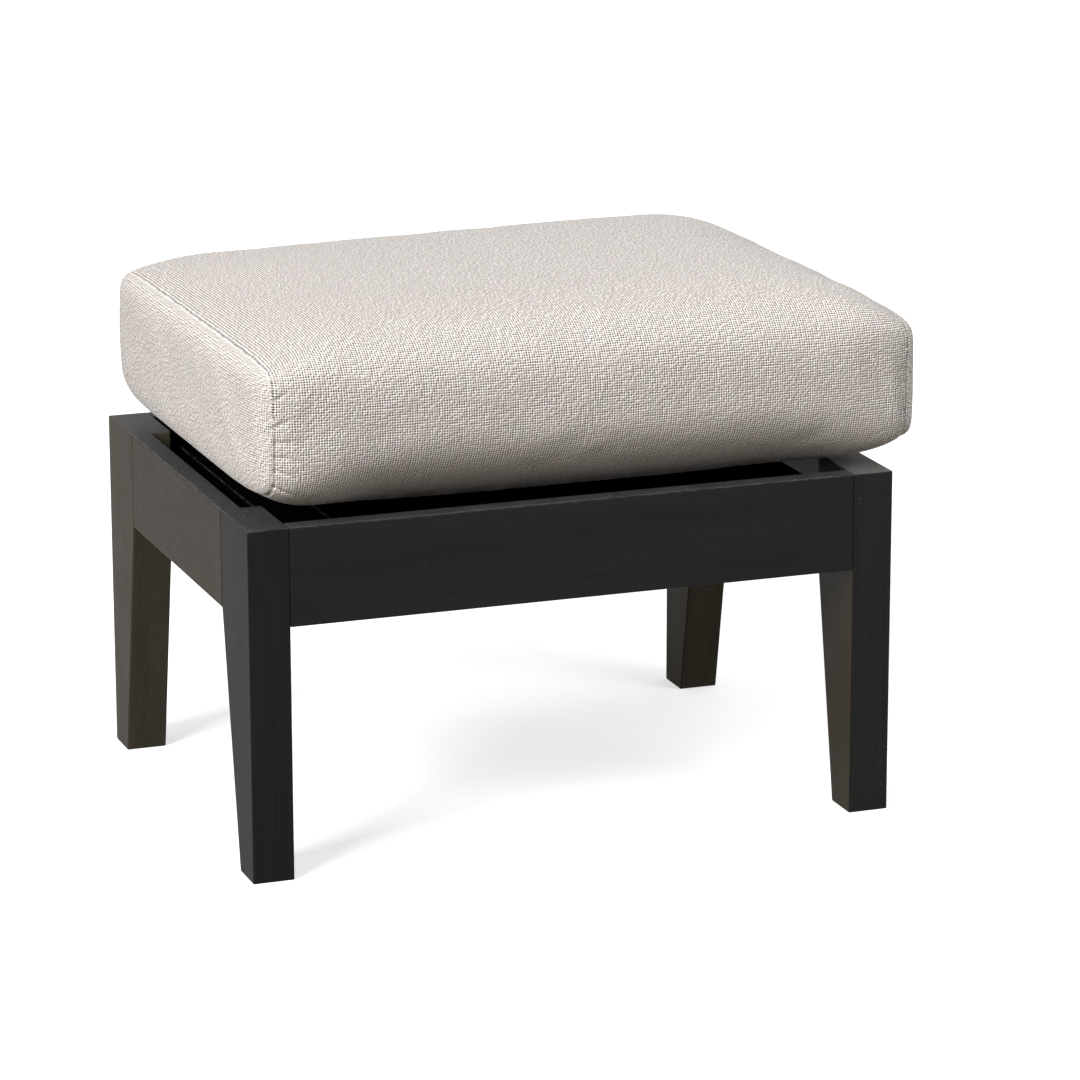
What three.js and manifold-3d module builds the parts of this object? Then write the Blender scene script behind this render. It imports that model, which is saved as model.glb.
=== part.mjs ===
// An outdoor ottoman footstool: a stained wooden frame with tapered legs and a slatted deck,
// and a loose box cushion with a zipped cover. Lengths are millimetres, +Z is up, +X runs along
// the wide front and +Y runs towards the back.
import * as THREE from 'three';
import { mergeVertices } from 'three/addons/utils/BufferGeometryUtils.js';
import Module from 'manifold-3d';

const wasm = await Module();
wasm.setup();

// Frame
const frameWidth = 610;
const frameDepth = 457;
const frameHeight = 322;
const legWidth = 38;
const legDepthTop = 82;
const legDepthFoot = 40;
const apronHeight = 90;
const apronThickness = 19;
const jointGap = 0.3;
const edgeBevel = 1;
const cornerEase = 1.6;

// Slatted deck, let in below the top of the frame
const deckDrop = 19;
const slatThickness = 12;
const slatCount = 10;
const slatGap = 9.5;
const slatLegGap = 12.5;
const housingDepth = 5;
const railThickness = 19;
const railHeight = 19;

// Corner blocks behind the front and back aprons
const blockWidth = 34;
const blockDepth = 34;
const blockLift = 4.4;
const blockChamfer = 8;
const boltHeightShare = 0.3;
const blockScrewHeightShare = 0.74;

// Dowels between the side aprons and the legs
const dowelRadius = 4;
const dowelLength = 36;
const dowelChamfer = 1;
const dowelInset = 25;

// Wood screws
const screwRadius = 2;
const screwHeadRadius = 4;
const screwHeadDepth = 2.4;
const screwTipLength = 5;
const screwRecessRadius = 1.6;
const screwRecessDepth = 1.4;
const screwBiteInRail = 14;
const screwBiteInApron = 11;

// Furniture bolts and their threaded inserts
const boltRadius = 3;
const boltHeadRadius = 7;
const boltHeadHeight = 3;
const boltTipChamfer = 0.8;
const boltSocketRadius = 2.3;
const boltSocketDepth = 2;
const boltTipClearance = 1.5;
const insertRadius = 5;
const insertLength = 14;
const fastenerClearance = 0.3;
const cutOverrun = 2;

// Cushion, measured over its cover
const cushionShiftX = 14;
const cushionShiftY = -1;
const cushionOverhangX = 9.2;
const cushionOverhangY = 23.5;
const endPanelHeight = 120;
const seamLift = 41.5;
const topCrown = 33;
const bottomCrown = 47;
const sideDraw = 12.4;
const endBulge = 14.5;
const coverThickness = 1;
const coverGap = 0.3;

// Zip along the cushion's back
const zipLength = 400;
const zipTapeHeight = 24;
const zipTapeThickness = 0.9;
const zipChainHeight = 5;
const zipChainRise = 1.6;
const sliderLength = 12;
const sliderHeight = 9;
const sliderThickness = 1.8;
const sliderNoseShare = 0.5;
const bridgeLength = 10;
const bridgeHeight = 4.6;
const bridgeThickness = 1.4;
const bridgeWidth = 2;
const pullLength = 28;
const pullThickness = 1.2;
const pullHeadWidth = 6.4;
const pullTailWidth = 5;
const pullBarThickness = 1.4;
const pullEyeWidth = 3.2;
const pullEyeLength = 6;
const pullRunningClearance = 0.9;

// Shapes of the soft forms, as powers of the distance from the middle
const topCrownPower = 6;
const bottomCrownPower = 5;
const drawPower = 8;
const roundingPower = 8;
const topSeamSquareness = 9.5;
const bottomSeamSquareness = 7;
const topSquareness = 3.9;
const bottomSquareness = 2.05;
const capPower = 5;
const capSwell = 0.5;

// The crown is fuller towards the right and the front, by these shares of its rise
const rightLeanShare = 0.15;
const frontLeanShare = 0.15;

// Counts of facets
const bevelSteps = 2;
const roundSides = 12;
const socketSides = 6;
const stationCount = 15;
const topPointCount = 12;
const sidePointCount = 8;
const capRingShares = [0.4, 0.7, 0.88, 0.97];

// Vertices nearer than this become one before a cut
const weldDistance = 1e-4;

const unitX = new THREE.Vector3(1, 0, 0);
const unitY = new THREE.Vector3(0, 1, 0);
const unitZ = new THREE.Vector3(0, 0, 1);

// Places that several pieces share
const legInnerX = frameWidth / 2 - legWidth;
const legInnerY = frameDepth / 2 - legDepthTop;
const apronBottom = frameHeight - apronHeight;
const apronMiddle = frameHeight - apronHeight / 2;
const apronInnerY = frameDepth / 2 - apronThickness;
const slatTop = frameHeight - deckDrop;
const deckHalfWidth = legInnerX - slatLegGap;
const slatWidth = (2 * deckHalfWidth - (slatCount - 1) * slatGap) / slatCount;
const slatPitch = slatWidth + slatGap;
const railTop = slatTop - slatThickness - jointGap;
const railY = apronInnerY - jointGap - railThickness / 2;
const blockTop = railTop - railHeight - jointGap;
const blockBottom = apronBottom + blockLift;
const blockHeight = blockTop - blockBottom;
const blockX = legInnerX - jointGap - blockWidth / 2;
const blockY = apronInnerY - jointGap - blockDepth / 2;
const boltZ = blockBottom + boltHeightShare * blockHeight;
const blockScrewZ = blockBottom + blockScrewHeightShare * blockHeight;

// Half sizes of the cushion's seam outline, and the cushion's middle height
const halfDepthMiddle = frameDepth / 2 + cushionOverhangY;
const halfDepthSeam = halfDepthMiddle - sideDraw;
const halfHeightSeam = endPanelHeight / 2;
const cushionReachX = frameWidth / 2 + cushionOverhangX;
const seamX = cushionReachX - endBulge - coverThickness - coverGap;
const cushionMiddleZ = slatTop + seamLift + halfHeightSeam;
const restDrop = cushionMiddleZ - slatTop - coverGap;

const left = { name: 'left', sign: -1 };
const right = { name: 'right', sign: 1 };
const front = { name: 'front', sign: -1 };
const back = { name: 'back', sign: 1 };

const finishes = {
  wood: { color: 0x2a2826, roughness: 0.55, metalness: 0 },
  rawWood: { color: 0xb89468, roughness: 0.8, metalness: 0 },
  steel: { color: 0x8d8d8a, roughness: 0.35, metalness: 1 },
  brass: { color: 0xb08d4a, roughness: 0.4, metalness: 1 },
  cloth: { color: 0xc6bdb5, roughness: 0.95, metalness: 0 },
  foam: { color: 0xe9e2cf, roughness: 1, metalness: 0 },
  zipCloth: { color: 0xb7aea5, roughness: 0.9, metalness: 0 },
  zipMetal: { color: 0x9b9892, roughness: 0.4, metalness: 1 },
};

const ottoman = new THREE.Group();
const frame = new THREE.Group();
const cushion = new THREE.Group();
ottoman.add(frame, cushion);

function addPiece(group, name, geometry, finish, matrix = new THREE.Matrix4()) {
  const mesh = new THREE.Mesh(geometry, new THREE.MeshStandardMaterial(finish));
  mesh.name = name;
  mesh.applyMatrix4(matrix);
  group.add(mesh);
}

// Closed meshes and booleans

function welded(geometry) {
  const bare = geometry.clone();
  bare.deleteAttribute('normal');
  bare.deleteAttribute('uv');
  return mergeVertices(bare, weldDistance);
}

function toSolid(geometry) {
  const closed = welded(geometry);
  return new wasm.Manifold(new wasm.Mesh({
    numProp: 3,
    vertProperties: new Float32Array(closed.attributes.position.array),
    triVerts: new Uint32Array(closed.index.array),
  }));
}

function toGeometry(solid) {
  const { vertProperties, triVerts } = solid.getMesh();
  const geometry = new THREE.BufferGeometry();
  geometry.setAttribute('position', new THREE.BufferAttribute(new Float32Array(vertProperties), 3));
  geometry.setIndex([...triVerts]);
  geometry.computeVertexNormals();
  return geometry;
}

function cut(geometry, cutters) {
  const solids = cutters.map(toSolid);
  return toGeometry(solids.reduce((body, cutter) => body.subtract(cutter), toSolid(geometry)));
}

function join(first, second) {
  return toGeometry(toSolid(first).add(toSolid(second)));
}

// Wooden bars: an outline with eased corners, extruded with bevelled ends

const alongX = new THREE.Matrix4().makeBasis(unitY, unitZ, unitX);
const alongY = new THREE.Matrix4().makeBasis(unitZ, unitX, unitY);
const alongZ = new THREE.Matrix4();

function easedShape(corners) {
  const shape = new THREE.Shape();
  corners.forEach((corner, index) => {
    const before = corners.at(index - 1);
    const after = corners[(index + 1) % corners.length];
    const start = before.clone().sub(corner).setLength(cornerEase).add(corner);
    const end = after.clone().sub(corner).setLength(cornerEase).add(corner);
    if (index === 0) shape.moveTo(start.x, start.y);
    else shape.lineTo(start.x, start.y);
    shape.quadraticCurveTo(corner.x, corner.y, end.x, end.y);
  });
  shape.closePath();
  return shape;
}

function bar(corners, length, axes) {
  const depth = length - 2 * edgeBevel;
  const geometry = new THREE.ExtrudeGeometry(easedShape(corners), {
    depth,
    bevelThickness: edgeBevel,
    bevelSize: edgeBevel,
    bevelOffset: -edgeBevel,
    bevelSegments: bevelSteps,
    curveSegments: bevelSteps,
  });
  geometry.translate(0, 0, -depth / 2);
  return geometry.applyMatrix4(axes);
}

function rectangle(width, height) {
  const x = width / 2;
  const y = height / 2;
  return [[-x, -y], [x, -y], [x, y], [-x, y]].map((point) => new THREE.Vector2(...point));
}

// Turned pieces, with their heads at the origin and their outer ends along +Y

function turned(profile, sides = roundSides) {
  return new THREE.LatheGeometry(profile.map((point) => new THREE.Vector2(...point)), sides);
}

function facing(outward, x, y, z) {
  const turn = new THREE.Quaternion().setFromUnitVectors(unitY, outward);
  return new THREE.Matrix4().compose(new THREE.Vector3(x, y, z), turn, new THREE.Vector3(1, 1, 1));
}

function screw(length) {
  return turned([
    [0, -length],
    [screwRadius, screwTipLength - length],
    [screwRadius, -screwHeadDepth],
    [screwHeadRadius, 0],
    [screwRecessRadius, 0],
    [0, -screwRecessDepth],
  ]);
}

function screwHole(length) {
  const reach = length + fastenerClearance;
  return turned([
    [0, -reach],
    [screwRadius + fastenerClearance, screwTipLength - reach],
    [screwRadius + fastenerClearance, -screwHeadDepth],
    [screwHeadRadius + fastenerClearance, 0],
    [screwHeadRadius + fastenerClearance, cutOverrun],
    [0, cutOverrun],
  ]);
}

function roundHole(radius, depth) {
  return turned([[0, -depth], [radius, -depth], [radius, cutOverrun], [0, cutOverrun]]);
}

function bolt(length) {
  const body = turned([
    [0, -length],
    [boltRadius - boltTipChamfer, -length],
    [boltRadius, boltTipChamfer - length],
    [boltRadius, 0],
    [boltHeadRadius, 0],
    [boltHeadRadius, boltHeadHeight],
    [0, boltHeadHeight],
  ]);
  const socket = turned([
    [0, boltHeadHeight - boltSocketDepth],
    [boltSocketRadius, boltHeadHeight - boltSocketDepth],
    [boltSocketRadius, boltHeadHeight + cutOverrun],
    [0, boltHeadHeight + cutOverrun],
  ], socketSides);
  return cut(body, [socket]);
}

function insert() {
  const bore = boltRadius + fastenerClearance;
  return turned([
    [bore, -insertLength],
    [insertRadius, -insertLength],
    [insertRadius, 0],
    [bore, 0],
    [bore, -insertLength],
  ]);
}

function dowel(extra = 0) {
  const radius = dowelRadius + extra;
  const half = dowelLength / 2 + extra;
  return turned([
    [0, -half],
    [radius - dowelChamfer, -half],
    [radius, dowelChamfer - half],
    [radius, half - dowelChamfer],
    [radius - dowelChamfer, half],
    [0, half],
  ]);
}

// Where each kind of fastener sits

function dowelPlace(side, end, z) {
  return facing(unitY, side.sign * (frameWidth / 2 - apronThickness / 2), end.sign * legInnerY, z);
}

function boltPlace(side, end) {
  const seat = blockX - blockWidth / 2 - jointGap;
  const inwards = unitX.clone().multiplyScalar(-side.sign);
  return facing(inwards, side.sign * seat, end.sign * blockY, boltZ);
}

function insertPlace(side, end) {
  const inwards = unitX.clone().multiplyScalar(-side.sign);
  return facing(inwards, side.sign * legInnerX, end.sign * blockY, boltZ);
}

function blockScrewPlace(side, end) {
  const y = blockY - blockDepth / 2;
  const outward = unitY.clone().multiplyScalar(-end.sign);
  return facing(outward, side.sign * blockX, end.sign * y, blockScrewZ);
}

function railScrewPlace(x, end) {
  const outward = unitY.clone().multiplyScalar(-end.sign);
  return facing(outward, x, end.sign * (railY - railThickness / 2), railTop - railHeight / 2);
}

function slatScrewPlace(x, end) {
  return facing(unitZ, x, end.sign * railY, slatTop);
}

const boltLength = blockWidth + 3 * jointGap + insertLength;
const boltHoleInLeg = insertLength + boltTipClearance;
const slatScrewLength = slatThickness + jointGap + screwBiteInRail;
const railScrewLength = railThickness + jointGap + screwBiteInApron;
const blockScrewLength = blockDepth + jointGap + screwBiteInApron;
const dowelHeights = { upper: frameHeight - dowelInset, lower: apronBottom + dowelInset };

const slatXs = Array.from({ length: slatCount }, (_, i) => (i - (slatCount - 1) / 2) * slatPitch);
const outerSlatXs = [slatXs.at(0), slatXs.at(-1)];
const railScrewXs = [slatXs.at(0) + slatPitch / 2, slatXs.at(-1) - slatPitch / 2];

const placed = (geometry, matrix) => geometry.clone().applyMatrix4(matrix);

// Frame pieces

function addLeg(side, end) {
  const outline = [
    [frameDepth / 2, 0],
    [frameDepth / 2, frameHeight],
    [legInnerY, frameHeight],
    [legInnerY, apronBottom],
    [frameDepth / 2 - legDepthFoot, 0],
  ].map(([y, z]) => new THREE.Vector2(end.sign * y, z));
  const body = bar(outline, legWidth, alongX);
  body.translate(side.sign * (frameWidth / 2 - legWidth / 2), 0, 0);
  const holes = Object.values(dowelHeights).map((z) => (
    placed(dowel(fastenerClearance), dowelPlace(side, end, z))
  ));
  const insertHole = roundHole(insertRadius + fastenerClearance, boltHoleInLeg);
  holes.push(placed(insertHole, insertPlace(side, end)));
  addPiece(frame, `leg_${end.name}_${side.name}`, cut(body, holes), finishes.wood);
}

function addLongApron(end) {
  const length = 2 * (legInnerX - jointGap);
  const body = bar(rectangle(apronThickness, apronHeight), length, alongX);
  body.translate(0, end.sign * (frameDepth / 2 - apronThickness / 2), apronMiddle);
  const holes = railScrewXs.map((x) => placed(screwHole(railScrewLength), railScrewPlace(x, end)));
  for (const side of [left, right]) {
    holes.push(placed(screwHole(blockScrewLength), blockScrewPlace(side, end)));
  }
  addPiece(frame, `apron_${end.name}`, cut(body, holes), finishes.wood);
}

function addSideApron(side) {
  const length = 2 * (legInnerY - jointGap);
  const body = bar(rectangle(apronHeight, apronThickness), length, alongY);
  body.translate(side.sign * (frameWidth / 2 - apronThickness / 2), 0, apronMiddle);
  const holes = [front, back].flatMap((end) => Object.values(dowelHeights).map((z) => (
    placed(dowel(fastenerClearance), dowelPlace(side, end, z))
  )));
  addPiece(frame, `apron_${side.name}`, cut(body, holes), finishes.wood);
}

// The notch across a rail in which a slat's end is glued
function housing(x, end) {
  const width = slatWidth + 2 * jointGap;
  const depth = railThickness + 2 * cutOverrun;
  const height = housingDepth + cutOverrun;
  return new THREE.BoxGeometry(width, depth, height)
    .translate(x, end.sign * railY, railTop + height / 2);
}

function addRail(end) {
  const height = railHeight + housingDepth;
  const body = bar(rectangle(railThickness, height), 2 * (legInnerX - jointGap), alongX);
  body.translate(0, end.sign * railY, railTop + housingDepth - height / 2);
  const cuts = [
    ...slatXs.map((x) => housing(x, end)),
    ...outerSlatXs.map((x) => placed(screwHole(slatScrewLength), slatScrewPlace(x, end))),
    ...railScrewXs.map((x) => placed(screwHole(railScrewLength), railScrewPlace(x, end))),
  ];
  addPiece(frame, `slat_rail_${end.name}`, cut(body, cuts), finishes.wood);
}

// The two outer slats are screwed down as well
function addSlat(x, number) {
  const length = 2 * (apronInnerY - jointGap);
  const body = bar(rectangle(slatThickness, slatWidth), length, alongY);
  body.translate(x, 0, slatTop - slatThickness / 2);
  const holes = [front, back].map((end) => (
    placed(screwHole(slatScrewLength), slatScrewPlace(x, end))
  ));
  const slat = outerSlatXs.includes(x) ? cut(body, holes) : body;
  addPiece(frame, `seat_slat_${number}`, slat, finishes.wood);
}

function addCornerBlock(side, end) {
  const x = blockWidth / 2;
  const y = blockDepth / 2;
  const outline = [[x, y], [-x, y], [-x, blockChamfer - y], [blockChamfer - x, -y], [x, -y]];
  const corners = outline.map(([u, v]) => new THREE.Vector2(side.sign * u, end.sign * v));
  const body = bar(corners, blockHeight, alongZ);
  body.translate(side.sign * blockX, end.sign * blockY, blockBottom + blockHeight / 2);
  const boltHole = roundHole(boltRadius + fastenerClearance, blockWidth + jointGap + cutOverrun);
  const holes = [
    placed(boltHole, boltPlace(side, end)),
    placed(screwHole(blockScrewLength), blockScrewPlace(side, end)),
  ];
  addPiece(frame, `corner_block_${end.name}_${side.name}`, cut(body, holes), finishes.wood);
}

// Fasteners

function addCornerFasteners(side, end) {
  const corner = `${end.name}_${side.name}`;
  addPiece(frame, `block_bolt_${corner}`, bolt(boltLength), finishes.steel, boltPlace(side, end));
  addPiece(frame, `leg_insert_${corner}`, insert(), finishes.brass, insertPlace(side, end));
  const blockScrew = screw(blockScrewLength);
  addPiece(frame, `block_screw_${corner}`, blockScrew, finishes.steel, blockScrewPlace(side, end));
  for (const [level, z] of Object.entries(dowelHeights)) {
    addPiece(frame, `dowel_${corner}_${level}`, dowel(), finishes.rawWood, dowelPlace(side, end, z));
  }
}

function addDeckScrews(end) {
  [left, right].forEach((side, index) => {
    const corner = `${end.name}_${side.name}`;
    const slatScrew = slatScrewPlace(outerSlatXs[index], end);
    addPiece(frame, `slat_screw_${corner}`, screw(slatScrewLength), finishes.steel, slatScrew);
    const railScrew = railScrewPlace(railScrewXs[index], end);
    addPiece(frame, `rail_screw_${corner}`, screw(railScrewLength), finishes.steel, railScrew);
  });
}

// Cushion: a band drawn in to a seam at each end, and an end panel that bulges past each seam

// Directions round the band's rim, as points of a unit square, closer together at its corners
function rimDirections() {
  const steps = (count) => Array.from({ length: count }, (_, i) => (
    Math.sin((Math.PI / 2) * ((2 * i) / count - 1))
  ));
  return [
    ...steps(topPointCount).map((t) => [t, 1]),
    ...steps(sidePointCount).map((t) => [1, -t]),
    ...steps(topPointCount).map((t) => [-t, -1]),
    ...steps(sidePointCount).map((t) => [-1, t]),
  ];
}

const rim = rimDirections();

// Stations along the band from seam to seam, closer together at its ends
const stations = Array.from({ length: stationCount }, (_, i) => (
  Math.sin((Math.PI / 2) * ((2 * i) / (stationCount - 1) - 1))
));

const topHalf = {
  rise: topCrown,
  power: topCrownPower,
  squareness: topSquareness,
  seamSquareness: topSeamSquareness,
  leanShare: 1,
};
const bottomHalf = {
  rise: bottomCrown,
  power: bottomCrownPower,
  squareness: bottomSquareness,
  seamSquareness: bottomSeamSquareness,
  leanShare: 0,
};

function bandPoint(station, [dy, dz], inset) {
  const half = dz > 0 ? topHalf : bottomHalf;
  const crown = 1 - Math.abs(station) ** half.power;
  const draw = 1 - Math.abs(station) ** drawPower;
  const rounding = 1 - Math.abs(station) ** roundingPower;
  const halfDepth = halfDepthSeam + sideDraw * draw - inset;
  const squareness = half.seamSquareness + (half.squareness - half.seamSquareness) * rounding;
  const size = (Math.abs(dy) ** squareness + Math.abs(dz) ** squareness) ** (1 / squareness);
  const lean = half.leanShare * (rightLeanShare * station - (frontLeanShare * dy) / size);
  const halfHeight = halfHeightSeam + half.rise * crown * (1 + lean) - inset;
  const z = Math.max((halfHeight * dz) / size, inset - restDrop);
  return new THREE.Vector3(station * seamX, (halfDepth * dy) / size, z);
}

function bandRings(inset) {
  return stations.map((station) => rim.map((direction) => bandPoint(station, direction, inset)));
}

// Rings of an end's cap, from its rim to its middle, which is a ring of one point
function capRings(sign, inset, lift) {
  const shares = [...capRingShares, 1].reverse();
  const rings = shares.map((share) => rim.map((direction) => {
    const point = bandPoint(sign, direction, inset);
    const rise = lift + endBulge * (1 - share ** capPower) ** capSwell;
    return new THREE.Vector3(point.x + sign * rise, point.y * share, point.z * share);
  }));
  const peak = new THREE.Vector3(sign * (seamX + lift + endBulge), 0, 0);
  return [...rings, [peak]];
}

// Joins rings one after another; a ring of one point closes an end. Each four-sided face is
// split the same way whichever ring comes first, so that layers stay parallel.
function loft(rings, closeOnItself = false) {
  const points = rings.flat();
  const starts = rings.map((_, index) => rings.slice(0, index).flat().length);
  const faces = [];
  const spans = closeOnItself ? rings.length : rings.length - 1;
  for (let span = 0; span < spans; span += 1) {
    const next = (span + 1) % rings.length;
    const [here, there] = [starts[span], starts[next]];
    for (let i = 0; i < rim.length; i += 1) {
      const j = (i + 1) % rim.length;
      if (rings[span].length === 1) faces.push(here, there + i, there + j);
      else if (rings[next].length === 1) faces.push(here + i, there, here + j);
      else if (rings[next][0].x > rings[span][0].x) {
        faces.push(here + i, there + i, there + j, here + i, there + j, here + j);
      } else {
        faces.push(here + i, there + i, here + j, there + i, there + j, here + j);
      }
    }
  }
  const geometry = new THREE.BufferGeometry().setFromPoints(points);
  geometry.setIndex(faces);
  geometry.computeVertexNormals();
  return geometry;
}

function addFoam() {
  const inset = coverThickness + coverGap;
  const leftCap = capRings(left.sign, inset, 0).reverse();
  const rightCap = capRings(right.sign, inset, 0);
  const rings = [...leftCap, ...bandRings(inset).slice(1, -1), ...rightCap];
  addPiece(cushion, 'cushion_foam', loft(rings), finishes.foam);
}

function addWrapPanel() {
  const rings = [...bandRings(0), ...bandRings(coverThickness).reverse()];
  addPiece(cushion, 'cushion_wrap_panel', loft(rings, true), finishes.cloth);
}

function addEndPanel(side) {
  const outer = capRings(side.sign, 0, coverGap + coverThickness);
  const inner = capRings(side.sign, 0, coverGap);
  const inwards = [...inner].reverse();
  const rings = side === right ? [...inwards, ...outer] : [...[...outer].reverse(), ...inner];
  addPiece(cushion, `cushion_end_panel_${side.name}`, loft(rings), finishes.cloth);
}

// Zip: y is measured outwards from the middle of the cushion's back face

const tapeInner = coverGap;
const chainOuter = tapeInner + zipTapeThickness + zipChainRise;
const sliderInner = chainOuter + coverGap;
const sliderOuter = sliderInner + sliderThickness;
const bridgeOuter = sliderOuter + bridgeHeight;
const sliderX = (sliderLength - zipLength) / 2 + pullLength;
const pullAxisY = sliderOuter + pullRunningClearance + pullBarThickness / 2;

function extruded(corners, length, axes) {
  const shape = new THREE.Shape(corners.map((corner) => new THREE.Vector2(...corner)));
  const geometry = new THREE.ExtrudeGeometry(shape, { depth: length, bevelEnabled: false });
  geometry.translate(0, 0, -length / 2);
  return geometry.applyMatrix4(axes);
}

function addZipTape() {
  const tape = zipTapeHeight / 2;
  const chain = zipChainHeight / 2;
  const tapeOuter = tapeInner + zipTapeThickness;
  const section = [
    [tapeInner, -tape], [tapeOuter, -tape], [tapeOuter, -chain], [chainOuter, -chain],
    [chainOuter, chain], [tapeOuter, chain], [tapeOuter, tape], [tapeInner, tape],
  ];
  const tapeGeometry = extruded(section, zipLength, alongX);
  tapeGeometry.translate(0, halfDepthMiddle, 0);
  addPiece(cushion, 'zip_tape', tapeGeometry, finishes.zipCloth);
}

function addZipSlider() {
  const half = sliderLength / 2;
  const waist = sliderHeight / 2;
  const nose = sliderNoseShare * waist;
  const plate = extruded([
    [-nose, -half], [nose, -half], [waist, 0], [nose, half], [-nose, half], [-waist, 0],
  ], sliderThickness, alongY);
  plate.translate(0, (sliderInner + sliderOuter) / 2, 0);
  const reach = bridgeLength / 2;
  const span = reach - bridgeThickness;
  const root = sliderOuter - sliderThickness / 2;
  const bridge = extruded([
    [-reach, root], [-reach, bridgeOuter], [reach, bridgeOuter], [reach, root],
    [span, root], [span, bridgeOuter - bridgeThickness],
    [-span, bridgeOuter - bridgeThickness], [-span, root],
  ], bridgeWidth, alongZ);
  const geometry = join(plate, bridge);
  const place = new THREE.Matrix4().makeTranslation(sliderX, halfDepthMiddle, 0);
  addPiece(cushion, 'zip_slider', geometry, finishes.zipMetal, place);
}

// The pull turns about an upright bar under the slider's bridge, and lies along -X at rest
function addZipPull() {
  const top = pullBarThickness / 2;
  const head = pullHeadWidth / 2;
  const tail = pullTailWidth / 2;
  const shoulder = top + pullEyeLength + pullBarThickness;
  const plate = extruded([
    [-head, top], [-head, -shoulder], [-tail, -pullLength], [tail, -pullLength],
    [head, -shoulder], [head, top],
  ], pullThickness, alongY);
  const eye = pullEyeWidth / 2;
  const eyeEnd = top + pullEyeLength;
  const window = extruded([
    [-eye, -top], [-eye, -eyeEnd], [eye, -eyeEnd], [eye, -top],
  ], pullThickness + cutOverrun, alongY);
  const place = new THREE.Matrix4().makeTranslation(sliderX, halfDepthMiddle + pullAxisY, 0);
  addPiece(cushion, 'zip_pull', cut(plate, [window]), finishes.zipMetal, place);
}

// The whole ottoman

for (const end of [front, back]) {
  addLongApron(end);
  addRail(end);
  addDeckScrews(end);
  for (const side of [left, right]) {
    addLeg(side, end);
    addCornerBlock(side, end);
    addCornerFasteners(side, end);
  }
}
[left, right].forEach(addSideApron);
slatXs.forEach((x, index) => addSlat(x, index + 1));
addFoam();
addWrapPanel();
[left, right].forEach(addEndPanel);
addZipTape();
addZipSlider();
addZipPull();

cushion.position.set(cushionShiftX, cushionShiftY, cushionMiddleZ);

// The origin is the middle of the whole footprint, which the loose cushion widens
const reachRight = Math.max(frameWidth / 2, cushionShiftX + cushionReachX);
const reachLeft = Math.max(frameWidth / 2, cushionReachX - cushionShiftX);
const reachBack = halfDepthMiddle + bridgeOuter + cushionShiftY;
const reachFront = halfDepthMiddle - cushionShiftY;
ottoman.position.set((reachLeft - reachRight) / 2, (reachFront - reachBack) / 2, 0);

export default ottoman;
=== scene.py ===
"""An outdoor ottoman footstool: a black stained wooden frame with a loose, woven box cushion.

Lengths are metres, +Z is up, +X runs along the wide front and +Y towards the back.
"""
import math
import random
from functools import lru_cache
from itertools import accumulate

import bmesh
import bpy
from mathutils import Matrix, Vector


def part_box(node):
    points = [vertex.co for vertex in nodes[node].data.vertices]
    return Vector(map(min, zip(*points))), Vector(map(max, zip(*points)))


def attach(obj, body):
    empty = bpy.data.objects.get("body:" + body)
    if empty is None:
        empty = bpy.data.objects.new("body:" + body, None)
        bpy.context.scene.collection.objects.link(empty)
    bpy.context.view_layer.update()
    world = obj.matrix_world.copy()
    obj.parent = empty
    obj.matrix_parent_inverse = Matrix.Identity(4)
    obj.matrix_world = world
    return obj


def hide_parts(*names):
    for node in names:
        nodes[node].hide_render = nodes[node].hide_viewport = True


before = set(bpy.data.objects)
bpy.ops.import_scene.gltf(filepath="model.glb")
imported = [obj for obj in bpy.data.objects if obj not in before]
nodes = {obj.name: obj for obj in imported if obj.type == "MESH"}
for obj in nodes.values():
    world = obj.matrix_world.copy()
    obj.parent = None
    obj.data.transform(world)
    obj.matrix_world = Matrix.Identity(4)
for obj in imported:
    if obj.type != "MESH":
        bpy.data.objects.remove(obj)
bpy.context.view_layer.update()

MM = 0.001

# Camera, as it stood for the photograph

CAMERA_AZIMUTH = math.radians(-20.155)
CAMERA_ELEVATION = math.radians(15.134)
CAMERA_ROLL = math.radians(-0.093)
CAMERA_DISTANCE = 4420 * MM
CAMERA_LENS = 157.2
CAMERA_SENSOR = 36.0
# The camera's aim, measured from the middle of the wooden frame's footprint
CAMERA_AIM = Vector((48.1 * MM, 0, 223.5 * MM))

leg_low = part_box("leg_front_left")[0]
leg_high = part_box("leg_back_right")[1]
frame_middle = Vector(((leg_low.x + leg_high.x) / 2, (leg_low.y + leg_high.y) / 2, 0))


def put_in_scene(piece):
    bpy.context.scene.collection.objects.link(piece)


def add_camera():
    flat = math.cos(CAMERA_ELEVATION)
    backwards = Vector((
        math.sin(CAMERA_AZIMUTH) * flat,
        -math.cos(CAMERA_AZIMUTH) * flat,
        math.sin(CAMERA_ELEVATION),
    ))
    lens = bpy.data.cameras.new("camera")
    lens.lens = CAMERA_LENS
    lens.sensor_width = CAMERA_SENSOR
    camera = bpy.data.objects.new("camera", lens)
    turn = (-backwards).to_track_quat("-Z", "Y").to_matrix().to_4x4()
    roll = Matrix.Rotation(CAMERA_ROLL, 4, "Z")
    place = Matrix.Translation(frame_middle + CAMERA_AIM + backwards * CAMERA_DISTANCE)
    camera.matrix_world = place @ turn @ roll
    put_in_scene(camera)
    bpy.context.scene.camera = camera


# Shader maths

# The Mix node's sockets for colours, by their numbers
MIX_COLOURS = (6, 7)
MIX_RESULT = 2


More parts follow.
